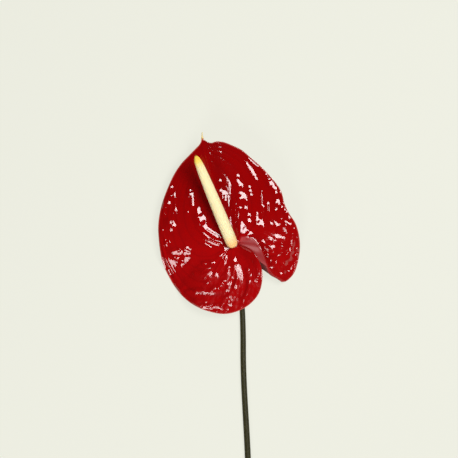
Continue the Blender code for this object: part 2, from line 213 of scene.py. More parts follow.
def addFloor():
    bm = bmesh.new()
    bmesh.ops.create_grid(bm, x_segments=1, y_segments=1, size=studio["floorSize"] / 2)
    mesh = bpy.data.meshes.new("floor")
    bm.to_mesh(mesh)
    bm.free()
    floor = bpy.data.objects.new("floor", mesh)
    bpy.context.scene.collection.objects.link(floor)
    material, wire, shader = newFinish("paleFloor")
    grainColour = [channel * studio["grainShade"] for channel in studio["floorColour"]]
    plug(wire.noise(studio["floorGrain"]).tint(studio["floorColour"], grainColour), shader["Base Color"])
    shader["Roughness"].default_value = studio["floorRoughness"]
    shader["Specular IOR Level"].default_value = studio["floorSheen"]
    shader["Emission Color"].default_value = (*studio["floorGlow"], 1.0)
    shader["Emission Strength"].default_value = 1.0
    mesh.materials.append(material)


def setUpStudio():
    addCamera()
    addFloor()
    target = Vector((*(flowerPlace[:2] * mm), studio["aimHeight"] * mm))
    for name, (tilt, size, power) in studio["lights"].items():
        addSoftbox(name, tilt, size, power, target)
    world = bpy.data.worlds.new("room")
    world.use_nodes = True
    background = world.node_tree.nodes["Background"].inputs
    background["Color"].default_value = (*studio["roomColour"], 1.0)
    background["Strength"].default_value = studio["roomLight"]
    bpy.context.scene.world = world


setUpStudio()
print("camera, floor and lights are in place")


# the spathe: a polar blade whose rays run from a collar round the stem's top out to the margin

spathe = {
    "spineTurn": 15.0,       # the spine leans this far from +Y towards -X
    "collarRadius": 4.2,
    "collarHeight": 16.0,
    "collarLiftTurned": (0.5, 0.95),
    "collarShift": (0.9, 3.4),
    "collarShiftReach": 30.0,
    "heightPower": 1.35,
    "sinusTurned": (0.82, 0.97),
    "heightReach": 94.0,
    "thickness": 0.9,
    "marginThickness": 0.6,
    "collarThickening": 0.8,
    "collarFade": 6.0,
    "marginThinning": 12.0,  # the blade thins over this distance from its margin
    "veinThickening": 0.35,
    "edgeSwingPower": 3,     # how fast the pull towards the sinus edge fades round the blade
    # each margin row: turn from the spine, reach, height, crown half way out
    "left": {
        "side": -1, "collarLift": 0.8, "marginLength": 153.0, "smoothBand": ((0, 4), (60, 6)),
        "margin": ((219, 32.7, 23.6, 5), (207, 40, 20.6, 3.6), (195, 47.3, 18.4, 2.6),
                   (183, 52.4, 17, 1.6), (171, 56.3, 16.2, 1.2), (159, 59, 15.6, 1.2),
                   (147, 59.8, 14.4, 1.2), (135, 60.7, 12, 1.4), (125, 61.2, 8, 2), (115, 61.3, 2.4, 3),
                   (108, 61.3, -0.6, 3), (101, 61.3, -0.9, 3), (94, 61.9, 1.6, 2.4), (86, 62.4, 5.6, 1.6),
                   (78, 63, 8, 1.4), (69, 64.4, 9.4, 1.4), (60, 66.8, 10.4, 1.4), (45, 71.3, 11.8, 1.4),
                   (32.4, 76.2, 13.4, 1.4), (22.4, 81.8, 15, 1.2), (15.4, 85.7, 16.2, 1),
                   (10, 88.4, 17.4, 1), (5, 91.7, 18.6, 0.8), (2.2, 94.1, 19.4, 0.5),
                   (0.8, 96.5, 20, 0.5), (0, 97.9, 20, 0.5)),
        "edge": ((4.2, 240), (8, 243), (11.7, 244.2), (16.1, 242.4), (20.2, 238.4), (24.5, 231.3),
                 (32.7, 219)),
        "veins": (0, 0.16, 0.26, 0.35, 0.46, 0.57, 0.68, 0.80, 0.91, 1),
    },
    "right": {
        "side": 1, "collarLift": -1.6, "marginLength": 97.0,
        # width of the smooth band along the sinus, by reach
        "smoothBand": ((6, 5), (10, 13), (14, 17), (20, 18.5), (24, 15.5), (28, 11), (33, 8), (40, 4),
                       (44, 0.8)),
        "margin": ((139.5, 54, 9.5, 3), (137, 56.8, 7.2, 3.2), (133, 58.6, 4.2, 3.5), (128, 60, 0.8, 3.8),
                   (122, 60.3, -0.9, 4), (116, 60.3, -0.6, 4), (107, 60.5, 3.6, 2.5), (95, 60.3, 10.4, 1.2),
                   (84, 59.8, 14.4, 0), (75, 58.5, 16, -0.2), (66, 59.9, 16.8, -0.4), (57, 65.2, 17.4, -0.5),
                   (45, 70, 18, -0.5), (33, 76.1, 18.4, -0.4), (27, 80, 18.6, -0.3), (21, 85.3, 18.8, 0),
                   (15, 89.2, 19, 0.2), (9.5, 92.6, 19.2, 0.6), (6.6, 93.3, 19.5, 0.6),
                   (4.2, 92.7, 19.7, 0.5), (2.2, 94.1, 19.9, 0.5), (0.8, 96.5, 20, 0.5),
                   (0, 97.9, 20, 0.5)),
        "edge": ((4.2, 121), (7, 125), (10, 128.5), (15, 133), (22, 136.8), (32, 139), (45, 139.5)),
        "veins": (0, 0.20, 0.38, 0.56, 0.74, 0.88, 1),
    },
    # the drawn-out tip: reach, half width, shift, height
    "tail": ((97.9, 1.3, 0.0, 20.0), (100.4, 0.5, 0.25, 20.8), (103.2, 0.32, 1.2, 22.2)),
    # the right lobe's rolled edge
    "rollRadius": 2.3, "rollAngle": 165.0, "rollFlap": 1.8, "rollStrip": 11.0,
    "rollSpan": (13.0, 24.0, 33.0, 49.0),  # reach where it starts, is full, fades and ends
    # low relief between the veins and along the margin
    "veinSweep": 2.5,
    "leastTurned": 0.004,  # keeps the veins' logarithm finite on the spine
    "blisterPitch": 8.0,
    "marginBlisterPitch": 3.6,
    "blisterRise": 0.02,
    "mostBlisterRise": 0.05,
    "blisterSkew": 2.5,
    "blisterStagger": 0.37,
    # two waves that shift the blisters: share of a pitch, wavelength / 2 pi, turn from vein to vein
    "blisterWander": ((0.22, 6.1, 2.3), (0.18, 4.7, 1.0)),
    "blisterHeights": (0.45, 1.35),
    "blisterDraws": 400,
    "blisterCrown": 0.7,
    "veinCrown": 0.75,
    "plainShare": 0.45,
    "smoothSpineStrip": 3.0,
    "bandRise": 0.6,
    "bandSoftness": 1.2,
    "quietBand": (0.75, 3.0),  # relief starts at this share of the band and is full this far past it
    "grooveDepth": 0.03,
    "grooveWidth": 0.75,
    "rungWidth": 0.6,
    "rungFade": 1.5,
    "rimRise": 0.35,
    "rimWidth": 0.8,
    # colours
    # the first red is painted shade by the tip, the second painted light on the lower lobe
    "shadedAndLitReds": ((0.27, 0.0004, 0.0006), (0.35, 0.0015, 0.002)),  # by the tip, on the lower lobe
    "shadeToLightSpan": (-50.0, 20.0),                                 # how far down the first turns to the second
    "mottleRed": (0.24, 0.002, 0.003),
    "mottleScale": 160.0,
    "mottleSpan": (0.35, 0.75),
    # painted shade in the vein grooves and the cross-vein rungs between the blisters
    "paintedGrooveShade": (0.13, 0.001, 0.002),
    # the band's lighter dull red is a painted sheen, a painted broad reflection
    "bandPaintedSheenRed": (0.36, 0.008, 0.010),
    # painted highlight: a thin pink line along the margin
    "paintedRimHighlight": (0.72, 0.16, 0.13),
    "rimHighlightWidth": 0.55,
    "underReds": ((0.085, 0.012, 0.008), (0.14, 0.010, 0.008)),
    "tipYellow": (0.80, 0.62, 0.22),
    "tipSpan": (94.3, 95.6),
    "tints": {"mottle": 0.35, "groove": 0.22, "rung": 0.1, "rimHighlight": 0.5},  # strength of each
    "roughness": {"plain": 0.05, "band": 0.45, "under": 0.35, "waxy": 0.2},  # all but plain are added to it
    # puckers of the shine, drawn out along the veins
    "puckerSize": (2.3, 6.0),
    "puckerDepth": 1.2,
    "puckerDetail": 1.5,
    "waxSpan": (0.35, 0.6),
    "bladeLength": 56.0,
    "plainPucker": 0.05,
    # waxy lobes: where each begins and is full, how puckered and how waxy it is
    "lobes": {"lower": {"across": (-48.0, -20.0), "down": (10.0, 24.0), "pucker": 0.35, "wax": 1.0},
              "right": {"across": (24.0, 34.0), "down": (-26.0, -10.0), "pucker": 0.3, "wax": 0.6}},
    "foldFade": (-0.5, 1.8),  # the folds fade over this distance from the margin
    "foldSpread": 2.6,        # half widths past which a fold no longer counts
    # folds and blisters, one by one: half width, then each crest point's place and rise
    "folds": (
        (2.4, (-3.3, -18, 1.17), (-3.6, -24.6, 1.03), (-3.8, -31.7, 0.78), (-3.2, -36.3, 1.64)),
        (1.8, (1.6, -10.6, 0.55), (1.8, -18.4, 0.91), (1.1, -25.4, 1.09)),
        (3.3, (3.5, -16.9, 1.18), (5.2, -22.5, 1.38), (6.7, -29.2, 1.46), (6, -37.7, 0.94)),
        (3.1, (2, -36.7, 1.66), (1.4, -41.5, 1.25), (2.5, -47, 1.07)),
        (1.3, (4.5, -20.2, 0.16), (4.5, -28.1, 0.86), (3.2, -33.1, 0.72), (0.6, -38.3, 0.40),
         (-1.9, -41.6, 0.60), (-6.1, -44.1, 0.03), (-10.4, -45.8, 0.15), (-14.7, -46.6, 0.03),
         (-20.7, -47.5, 0.28), (-24.1, -47.4, 0.43), (-30.2, -46.6, 0.51), (-35.3, -44.8, 0.03),
         (-40.4, -42.1, 0.03), (-44.4, -38.5, 0.03)),
        (1.3, (-3.5, -21.2, 0.03), (-4, -27.5, 0.03), (-6.4, -31.8, 0.31), (-9.9, -35.3, 0.03),
         (-13.9, -37.8, 0.03), (-20.6, -38.7, 0.03), (-27.8, -39, 0.03), (-34.9, -37.8, 0.03)),
        (2.4, (-10.7, -34.6, 1.30)),
        (2.9, (-15.7, -37.5, 1.58)),
        (2.4, (-7.7, -29.9, 1.68)),
        (2.6, (-32, -38.8, 1.81), (-26.2, -37.9, 1.31)),
        (2.4, (-23.7, -38.6, 0.85), (-18.9, -38.6, 0.94)),
        (2.4, (-6.9, -1.1, 0.58), (-7.7, -4.6, 0.46), (-10.4, -8.1, 1.06), (-13.9, -11.6, 0.40)),
        (2.9, (-16.7, -14.7, 0.93)),
        (1.8, (-15.6, -14.4, 0.03), (-18.5, -17.4, 0.91), (-23.3, -17.7, 1.35), (-28.4, -17, 1.02)),
        (2.0, (-24.7, -14, 1.50), (-18.2, -13.2, 1.50)),
        (1.3, (-8.6, -10.1, 0.37), (-11.4, -16.9, 0.56), (-14.6, -23.4, 0.47)),
        (4.4, (-22.6, -25.2, 2.00)),
        (2.2, (-20, -22.8, 0.23)),
        (3.1, (-31.7, -23.1, 1.69), (-27.3, -24.1, 1.26)),
        (2.0, (-20.9, -30.5, 0.75), (-14.4, -25.9, 0.89)),
        (1.5, (-5.6, -9.1, 0.42), (-7, -14.3, 0.54), (-9.5, -20.2, 0.48)),
        (1.3, (7, -39.8, 0.27), (8.1, -44.5, 0.98)),
        (2.0, (-2, -44.4, 1.26), (-0.2, -49.4, 1.25)),
        (2.4, (-6, -44.7, 1.80), (-6.6, -49.1, 1.20)),
        (1.5, (-3.7, -46, 0.86), (-4.1, -49.2, 0.56)),
        (2.6, (-8.9, -51.5, 1.95)),
        (2.0, (-13.9, -51.2, 1.32)),
        (2.2, (-18.4, -51.7, 1.31)),
        (2.0, (-21.7, -51.2, 1.50)),
        (1.8, (-26.5, -51.4, 0.91)),
        (3.7, (-31.9, -49, 2.00), (-29.7, -52, 2.00)),
        (1.3, (-23.8, -48.7, 0.80), (-24, -54.2, 0.57)),
        (3.5, (3.1, -54.9, 0.70), (7.7, -52.8, 0.54), (11.5, -50.1, 1.27)),
        (2.6, (11.3, -45.3, 1.95)),
        (2.6, (13, -42.1, 1.81)),
        (2.9, (14.8, -37.8, 1.77)),
        (2.6, (15.3, -33.8, 1.41)),
        (2.4, (15.3, -30.4, 1.23)),
        (2.4, (14.8, -25.7, 1.62)),
        (2.0, (13.8, -20.5, 1.41)),
        (2.2, (22.9, -27.1, 1.29)),
        (1.5, (7, -52.8, 0.04), (12.1, -49.7, 0.03), (16.4, -45.5, 0.03), (19.9, -40.4, 0.09)),
        (1.5, (-12.4, -56.3, 0.79)),
        (1.5, (-3.9, -55.6, 0.62)),
        (1.3, (-63.6, 11.3, 0.98), (-61.8, 2.8, 0.98), (-59.7, -5.5, 0.92), (-56.7, -13.6, 0.98),
         (-52.6, -21.2, 0.98), (-48.7, -27.4, 0.81), (-45.3, -32.1, 0.68), (-41.8, -35.1, 0.69)),
        (2.6, (-53.9, 52.7, 1.21)),
        (1.8, (-54.1, 49.9, 0.84)),
        (2.6, (-53.6, 44.8, 1.52)),
        (4.2, (-57.4, 37.8, 2.00)),
        (2.0, (-54.1, 32.1, 0.94), (-51.2, 31.3, 1.06)),
        (4.0, (-55.5, 21.8, 1.93), (-53.4, 18.1, 1.94)),
        (2.9, (-61.4, 14.5, 1.93)),
        (2.0, (-60.1, 9.7, 1.16)),
        (1.5, (-58.7, 6.7, 0.83)),
        (2.4, (-57.8, 3.2, 1.66)),
        (3.3, (-53.6, -1.5, 0.93), (-50.8, -3.1, 1.37)),
        (1.8, (-50, -9, 0.90)),
        (1.7, (-53, -5, 0.90)),
        (1.9, (-47.5, -13.5, -0.70)),
        (1.9, (-43.5, -11.8, 0.60)),
        (1.9, (-41.5, -15.5, -0.60)),
        (1.8, (-38, -12.6, -0.60)),
        (2.9, (-40.7, -1.4, 1.53)),
        (2.0, (-46.2, -2.4, 1.33)),
        (1.8, (-36.9, -3.4, 0.88)),
        (1.8, (-56.3, -20.8, 1.13), (-53.4, -26.1, 0.25)),
        (1.8, (-51.2, -27.5, 1.35)),
        (3.5, (-49.8, -33.3, 2.00)),
        (3.3, (-45.7, -38, 2.00)),
        (1.8, (-39.8, -39.3, 1.35)),
        (1.8, (-36.3, -38.9, 1.35)),
        (1.4, (-59.3, 44.1, 0.65), (-59.9, 36.1, 1.05), (-59.6, 28.1, 0.76)),
        (1.0, (-50.5, 47.9, 0.38), (-50.1, 39.5, 0.42), (-49, 28.9, 0.40), (-47, 21.8, 0.44)),
        (1.0, (-57.7, 17.7, 0.75), (-56.5, 9.5, 0.51), (-54.4, 3, 0.40)),
        (1.5, (-39.2, 30.4, 0.67)),
        (1.8, (-37.7, 49.6, 0.66), (-37.5, 45.7, 1.20)),
        (1.8, (-35.4, 46.6, 0.56), (-35, 36, 0.73)),
        (2.5, (-27.8, 21.1, 0.91), (-23.6, 15, 0.92), (-18.1, 11.3, 0.77), (-13.3, 8.3, 0.70)),
        (4.6, (-28.1, 24.1, 1.45)),
        (2.2, (-30.6, 33.4, 0.74), (-30.2, 26.7, 0.92)),
        (1.2, (-9.6, 2.8, 0.03), (-14.9, 5.1, 0.33), (-19.4, 7.4, 0.45), (-24.7, 11.5, 0.78),
         (-30.7, 16.6, 0.69)),
        (1.4, (-10.8, 2.5, 0.77), (-14.5, 3.5, 0.74), (-19.9, 5.9, 0.76), (-24.6, 8.7, 0.77)),
        (1.1, (-18.9, -0.3, 0.38), (-24.1, 2.9, 0.41)),
        (1.4, (-11, 57.7, 0.42)),
        (1.3, (-11.1, 49, 0.38), (-8.3, 53.9, 0.05), (-3.9, 50.8, 0.03)),
        (2.4, (-8.6, 46.6, 0.56), (-8.6, 41.4, 0.60)),
        (1.1, (2.2, 41.6, 0.37), (0, 35.7, 0.31), (-1.1, 29.2, 0.14)),
        (1.4, (4.6, 61.9, 0.41)),
        (1.4, (4.6, 57.5, 0.40)),
        (2.2, (6.5, 53.5, 0.62)),
        (4.2, (7.3, 42.1, 1.19)),
        (2.2, (3.4, 37, 0.51), (3.4, 25.5, 0.38)),
        (1.3, (7.3, 33.7, 0.41)),
        (3.7, (7.7, 17.6, 0.85), (7.7, 13.2, 1.12)),
        (1.3, (4.3, 6.8, 0.17), (10, 12.1, 0.03)),
        (1.4, (14.7, 52.2, 0.49)),
        (1.4, (15.5, 48.7, 0.49)),
        (1.4, (16.4, 45.2, 0.50)),
        (1.8, (11.4, 33.6, 0.52)),
        (1.8, (14.1, 27.4, 0.51)),
        (2.1, (14.3, 22.1, 0.62)),
        (3.1, (14.2, 10.3, 0.89)),
        (1.0, (21.8, 29.9, 0.24), (21.4, 20.4, 0.39), (18.4, 16.2, 0.17), (15.8, 12.7, 0.08)),
        (4.0, (23, 19.1, 1.17)),
        (0.9, (25.8, 49.3, 0.26), (25.8, 37, 0.25)),
        (1.2, (27.4, 35.4, 0.26), (25.6, 27.5, 0.26)),
        (1.4, (31.2, 37.8, 0.40), (31.2, 30.8, 0.40)),
        (3.5, (34.1, 19.2, 0.54), (31.7, 14.4, 0.14)),
        (1.5, (38.4, 21.3, 0.17), (43.1, 23.8, 0.25)),
        (2.4, (39.9, 17.8, 0.78), (44.6, 18.3, 0.36)),
        (3.1, (48.1, 18.3, 1.71), (49.8, 13.5, 1.61)),
        (2.0, (26.4, 9.4, 0.11), (27.8, 10.9, 0.17)),
        (1.3, (47.1, 25.9, 0.41), (46.8, 20.3, 0.32)),
        (1.3, (23.2, 2, 0.23), (28.1, 3.4, 0.03), (30.9, 5.5, 0.23), (33.9, 8, 0.09)),
        (1.7, (34.4, 6, 0.61), (38, 4.7, 1.19), (41.6, 3.8, 1.27), (44.3, 3.5, 1.12)),
        (2.2, (39.2, 7.5, 0.72), (43.2, 7.5, 0.87)),
        (2.6, (47.2, 4.9, 1.89), (45.8, -0.8, 1.45)),
        (1.4, (47.9, 11.1, 0.13), (46.4, 7.2, 0.42)),
        (1.5, (27.1, 2.9, 0.75), (30.2, -0.1, 0.94), (32.7, -2.2, 1.12)),
        (2.9, (28.9, -0.4, 1.96), (31.9, -3, 1.59)),
        (4.0, (33.9, -7, 2.00), (37.4, -5.8, 2.00)),
        (2.2, (32.1, -0.6, 0.03), (37.9, -0.6, 0.87)),
        (1.4, (12.5, 72.9, 0.43)),
        (1.7, (14.6, 69.3, 0.53)),
        (1.8, (16.7, 65.9, 0.57)),
        (1.8, (18.6, 62.6, 0.60)),
        (1.4, (20.8, 59.3, 0.50)),
        (1.0, (14.1, 77.8, 0.42), (19.4, 72.9, 0.40), (22.9, 70.2, 0.43)),
        (1.8, (29.5, 63.5, 0.89)),
        (1.8, (32.1, 59.1, 1.00)),
        (2.9, (33.3, 54.3, 0.97)),
        (1.8, (37.4, 50.8, 0.58)),
        (1.8, (38.3, 46.8, 0.60)),
        (2.4, (38.3, 38.7, 0.84)),
        (2.2, (38, 32.1, 0.83)),
        (2.2, (43.4, 34.3, 0.81)),
        (1.4, (34.9, 61, 0.79)),
        (1.7, (42.7, 47.8, 0.86)),
        (1.4, (45.4, 38.2, 0.77)),
        (2.0, (47.9, 29.9, 0.91)),
        (2.0, (50.8, 24.5, 0.85)),
        (1.3, (51.1, 12.3, 0.32), (50.8, 7, 0.63), (50.1, 2.4, 0.98), (48.7, -2.2, 0.98),
         (45, -5.6, 0.31), (41.4, -8.2, 0.51), (37.9, -10.9, 0.98)),
        (1.8, (54.1, 7.2, 1.14)),
        (1.8, (54.1, 4.5, 1.35)),
        (1.8, (53.8, 1.9, 1.35)),
        (2.0, (52.7, -0.7, 1.50)),
        (2.0, (53, -3.7, 1.50)),
        (2.0, (50.6, -6.1, 1.23)),
        (2.0, (48.8, -8.2, 0.63)),
        (2.2, (51.4, -9.6, 1.65)),
        (2.4, (58.7, 10.3, 1.62), (59.2, 6.7, 1.33)),
        (1.4, (59.8, 5.3, 0.51), (59.6, -2.7, 1.05)),
        (1.8, (57.5, -2.5, 1.24)),
        (2.0, (58.4, -6.8, 1.41)),
        (2.6, (59.4, -8.8, 1.15), (59.4, -11.1, 1.14)),
        (2.0, (55.7, -16, 0.47)),
        (1.5, (55.2, -17.6, 0.21)),
        (2.0, (54.2, -19.7, 1.01)),
        (1.5, (51.6, -21.3, 0.77)),
        (3.5, (44.3, -8.9, 2.00), (46.1, -10.7, 2.00)),
        (2.0, (47.1, -14.4, 1.50)),
        (2.2, (40.1, -14.3, 1.65), (42.7, -16.5, 1.65)),
        (2.2, (45.7, -22.5, 1.19)),
        (2.0, (35, -13.1, 1.50)),
        (2.0, (52.6, 19, 0.67)),
        (2.0, (55.4, 14.9, 1.14), (55, 12.1, 1.42)),
    ),
    "columns": (196, 116, 104),  # left half, right half away from the sinus, right half by it
    "nearShare": 0.78,           # the right half's columns crowd past this share of its turn
    "rows": 104,
    "rowCrowding": 1.15,
    "tipShare": 0.0105,          # the columns this near to the spine run out into the tail
    "tailSteps": 8,
    "seed": 7,
}


# Sideways shift and lift of the rolled edge, by distance from the flat blade's edge.
def rollEdge(fromEdge, reach):
    start, full, fade, end = spathe["rollSpan"]
    strip, radius = spathe["rollStrip"], spathe["rollRadius"]
    fullness = smoothStep(reach, start, full) * (1.0 - smoothStep(reach, fade, end))
    wholeBend = math.radians(spathe["rollAngle"]) * fullness
    before = strip - radius * np.sin(np.minimum(wholeBend, math.pi / 2))
    sheet = before + radius * wholeBend + spathe["rollFlap"] * fullness
    flat = strip - fromEdge
    along = sheet * flat / strip
    bend = np.clip((along - before) / radius, 0.0, wholeBend)
    past = np.maximum(0.0, along - before - radius * wholeBend)
    curled = before + radius * np.sin(bend) + past * np.cos(bend)
    across = np.where(along < before, along, curled)
    lift = radius * (1.0 - np.cos(bend)) + past * np.sin(bend)
    rolls = (fullness > 0.0) & (fromEdge < strip)
    return np.where(rolls, across - flat, 0.0), np.where(rolls & (along > before), lift, 0.0)


# The blade's low relief, with the numbers that colour it.
# A vein's place is 0 on the spine and 1 on the margin.
def bulge(half, turned, out, reach, length):
    sweep, veins = spathe["veinSweep"], np.array(half["veins"], float)
    straying = 1.0 - out ** sweep
    turned = np.maximum(turned, spathe["leastTurned"])
    place = turned ** straying
    wholeTurn = math.radians(half["margin"][0][0])
    gradeOut = sweep * out ** (sweep - 1.0) * -np.log(turned) * place / length
    gradeRound = straying * place / turned / (wholeTurn * reach)
    grade = np.maximum(np.hypot(gradeOut, gradeRound), 1e-4)
    strip = np.clip(np.searchsorted(veins, place, side="right"), 1, len(veins) - 1)
    low, high = veins[strip - 1], veins[strip]
    width = (high - low) / grade
    across = np.clip((place - low) / (high - low), 0.0, 1.0)
    fromSinus = (1.0 - turned) * wholeTurn * reach
    fromSpine = turned * wholeTurn * reach
    fromMargin = (1.0 - out) * length
    bandReach, bandWidth = zip(*half["smoothBand"])
    bandEdge = np.interp(reach, bandReach, bandWidth)
    band = 1.0 - smoothStep(fromSinus, bandEdge - spathe["bandSoftness"], bandEdge + spathe["bandSoftness"])
    quietStart, quietEnd = spathe["quietBand"]
    quiet = smoothStep(fromSinus, bandEdge * quietStart, bandEdge + quietEnd)
    quiet = quiet * smoothStep(fromSpine, 0.0, spathe["smoothSpineStrip"])
    rise = np.minimum(spathe["blisterRise"] * width, spathe["mostBlisterRise"]) * quiet

    last = strip == len(veins) - 1
    pitch = np.where(last, spathe["marginBlisterPitch"], spathe["blisterPitch"])
    cell = (reach + fromSinus * out + spathe["blisterSkew"] * across) / pitch
    cell = cell + spathe["blisterStagger"] * strip
    for (most, wave, turn), distance in zip(spathe["blisterWander"], (reach, fromSinus)):
        cell = cell + most * np.sin(distance / wave + turn * strip)
    random = np.random.default_rng(spathe["seed"] + half["side"])
    draws = spathe["blisterDraws"]
    heights = random.uniform(*spathe["blisterHeights"], size=(len(veins), draws))
    puff = np.abs(np.sin(math.pi * cell)) ** spathe["blisterCrown"]
    puff = puff * heights[strip, np.floor(cell).astype(int) % draws]
    plain = spathe["plainShare"]
    relief = rise * np.sin(math.pi * across) ** spathe["veinCrown"] * (plain + (1.0 - plain) * puff)

    fromVein = np.minimum(across, 1.0 - across) * width
    fromRung = np.abs(cell - np.round(cell)) * pitch
    groove = quiet * np.exp(-((fromVein / spathe["grooveWidth"]) ** 2))
    rung = quiet * np.exp(-((fromRung / spathe["rungWidth"]) ** 2))
    rung = rung * smoothStep(fromVein, 0.0, spathe["rungFade"])
    relief = relief - spathe["grooveDepth"] * groove
    relief = relief + spathe["rimRise"] * np.exp(-((fromMargin / spathe["rimWidth"]) ** 2))
    relief = relief + spathe["bandRise"] * band
    return relief, groove, rung, fromMargin, band * (half["side"] > 0)


# Rise of the listed folds and blisters at these places.
def foldRise(x, y):
    rise = np.zeros_like(x)
    for halfWidth, *crest in spathe["folds"]:
        points = np.array(crest, float)
        spread = spathe["foldSpread"] * halfWidth
        low, high = points.min(axis=0)[:2] - spread, points.max(axis=0)[:2] + spread
        near = np.flatnonzero((x > low[0]) & (x < high[0]) & (y > low[1]) & (y < high[1]))
        here = np.column_stack([x[near], y[near]])
        gap, height = np.hypot(*(here - points[0, :2]).T), np.full(len(near), points[0, 2])
        for a, b in zip(points, points[1:]):
            step = b[:2] - a[:2]
            share = np.clip((here - a[:2]) @ step / (step @ step), 0.0, 1.0)
            distance = np.hypot(*(here - a[:2] - share[:, None] * step).T)
            height = np.where(distance < gap, a[2] + share * (b[2] - a[2]), height)
            gap = np.minimum(gap, distance)
        rise[near] += height * np.exp(-((gap / halfWidth) ** 2))
    return rise


# Places on one half of the blade, by share of the way round its margin and of the way out to it.
def halfSheet(half, share, out):
    margin, edge = np.array(half["margin"], float), np.array(half["edge"], float)
    turns = np.radians(margin[:, 0])
    places = np.column_stack([margin[:, 1] * np.cos(turns), margin[:, 1] * np.sin(turns)])
    rows, along = smoothRows(margin, places)
    edge = smoothRows(edge, edge[:, :1])[0]
    at = along[-1] * (1.0 - share)
    turn, marginReach, marginHeight, crown = (np.interp(at, along, rows[:, k]) for k in range(4))
    collar, edgeTurn = spathe["collarRadius"], margin[0, 0]
    turned, length = turn / edgeTurn, marginReach - collar
    reach = collar + length * out
    swing = (edgeTurn - np.interp(reach, edge[:, 0], edge[:, 1])) * turned ** spathe["edgeSwingPower"]
    power = spathe["heightPower"]
    power = power - (power - 1.0) * smoothStep(turned, *spathe["sinusTurned"])
    lowOut = (reach - collar) / (np.minimum(marginReach, spathe["heightReach"]) - collar)
    start = spathe["collarHeight"] + half["collarLift"] * smoothStep(turned, *spathe["collarLiftTurned"])
    height = start + (marginHeight - start) * lowOut ** power + crown * np.sin(math.pi * lowOut)
    relief, *values = bulge(half, turned, out, reach, length)
    height, sideways = height + relief, np.zeros_like(reach)
    if half["side"] > 0:
        sideways, lift = rollEdge(np.radians(edgeTurn - turn) * reach, reach)
        height = height + lift
    inward = np.maximum(0.0, 1.0 - (reach - collar) / (spathe["collarShiftReach"] - collar)) ** 2
    heading = np.radians((turn - swing) * half["side"] - spathe["spineTurn"])
    sideways = sideways * half["side"]
    x = np.sin(heading) * reach + np.cos(heading) * sideways + spathe["collarShift"][0] * inward
    y = np.cos(heading) * reach - np.sin(heading) * sideways + spathe["collarShift"][1] * inward
    height = height + foldRise(x, y) * smoothStep((1.0 - out) * length, *spathe["foldFade"])
    return np.column_stack([x, y, np.maximum(height, spathe["thickness"])]), *values


# The narrow ribbon that the margin's tip runs out into.
def addTail(bm, tipVerts):
    rows, along = smoothRows(spathe["tail"], [row[:1] for row in spathe["tail"]])
    chain = sorted(tipVerts, key=lambda vert: vert.co.x)
    for at in np.linspace(0.0, along[-1], spathe["tailSteps"])[1:]:
        reach, halfWidth, shift, height = (np.interp(at, along, rows[:, k]) for k in range(4))
        edges = [bm.edges.get((a, b)) for a, b in zip(chain, chain[1:])]
        made = bmesh.ops.extrude_edge_only(bm, edges=edges)["geom"]
        chain = sorted((g for g in made if isinstance(g, bmesh.types.BMVert)), key=lambda vert: vert.co.x)
        heading = -math.radians(spathe["spineTurn"])
        for k, vert in enumerate(chain):
            sideways = shift + halfWidth * (2.0 * k / (len(chain) - 1) - 1.0)
            x = math.sin(heading) * reach + math.cos(heading) * sideways
            y = math.cos(heading) * reach - math.sin(heading) * sideways
            vert.co = (x, y, height)


def glossyRed():
    material, wire, shader = newFinish("glossyRedSpathe")
    groove, rung, rimHighlight = wire.value("groove"), wire.value("rung"), wire.value("rimHighlight")
    band, under = wire.value("band"), wire.value("under")
    mottle, tints = wire.noise(spathe["mottleScale"], 3.0), spathe["tints"]
    # painted shade towards the tip and painted light on the lower lobe, following the glow value
    colour = wire.value("glow").tint(*spathe["shadedAndLitReds"])
    colour = (mottle.between(*spathe["mottleSpan"]) * tints["mottle"]).tint(colour, spathe["mottleRed"])
    # darker red in the vein grooves and rungs: painted shade
    colour = (groove * tints["groove"] + rung * tints["rung"]).tint(colour, spathe["paintedGrooveShade"])
    # painted sheen on the smooth band by the sinus
    colour = band.tint(colour, spathe["bandPaintedSheenRed"])
    # painted highlight along the margin
    colour = (rimHighlight * tints["rimHighlight"]).tint(colour, spathe["paintedRimHighlight"])
    colour = under.tint(colour, mottle.tint(*spathe["underReds"]))
    colour = wire.value("tip").tint(colour, spathe["tipYellow"])
    plug(colour, shader["Base Color"])

    acrossSize, alongSize = spathe["puckerSize"]
    drawnOut = wire.make("ShaderNodeCombineXYZ", {}, {
        "X": wire.value("around") / acrossSize, "Y": wire.value("reach") / alongSize, "Z": 0.0})
    pucker = wire.noise(1.0, spathe["puckerDetail"], drawnOut)
    bump = wire.make("ShaderNodeBump", {}, {
        "Strength": wire.value("puckered"), "Distance": spathe["puckerDepth"] * mm, "Height": pucker})
    plug(bump, shader["Normal"])
    rough = spathe["roughness"]
    waxy = wire.value("waxy") * pucker.between(*spathe["waxSpan"])
    plug(rough["plain"] + rough["band"] * band + rough["under"] * under + rough["waxy"] * waxy,
         shader["Roughness"])
    return material


# Numbers for the spathe's colour and shine at these places.
def shineValues(share, out, places, groove, rung, fromMargin, band):
    x, y = places[:, 0], places[:, 1]
    puckered, waxy = np.full(len(x), spathe["plainPucker"]), np.zeros(len(x))
    for lobe, side in ((spathe["lobes"]["lower"], share < 0.0), (spathe["lobes"]["right"], share >= 0.0)):
        within = side * smoothStep(x, *lobe["across"]) * smoothStep(-y, *lobe["down"])
        puckered, waxy = puckered + lobe["pucker"] * within, waxy + lobe["wax"] * within
    marginLength = np.where(share < 0.0, spathe["left"]["marginLength"], spathe["right"]["marginLength"])
    return {"groove": groove, "rung": rung, "fromMargin": fromMargin, "band": band,
            # painted rim highlight, fading within a fraction of a millimetre of the margin
            "rimHighlight": np.exp(-((fromMargin / spathe["rimHighlightWidth"]) ** 2)),
            # glow: from painted shade by the tip to painted light on the lower lobe
            "glow": smoothStep(-y, *spathe["shadeToLightSpan"]),
            "around": share * marginLength, "reach": out * spathe["bladeLength"],
            "puckered": puckered * (1.0 - band), "waxy": waxy * (1.0 - band),
            "under": np.zeros(len(x)), "tip": np.zeros(len(x))}


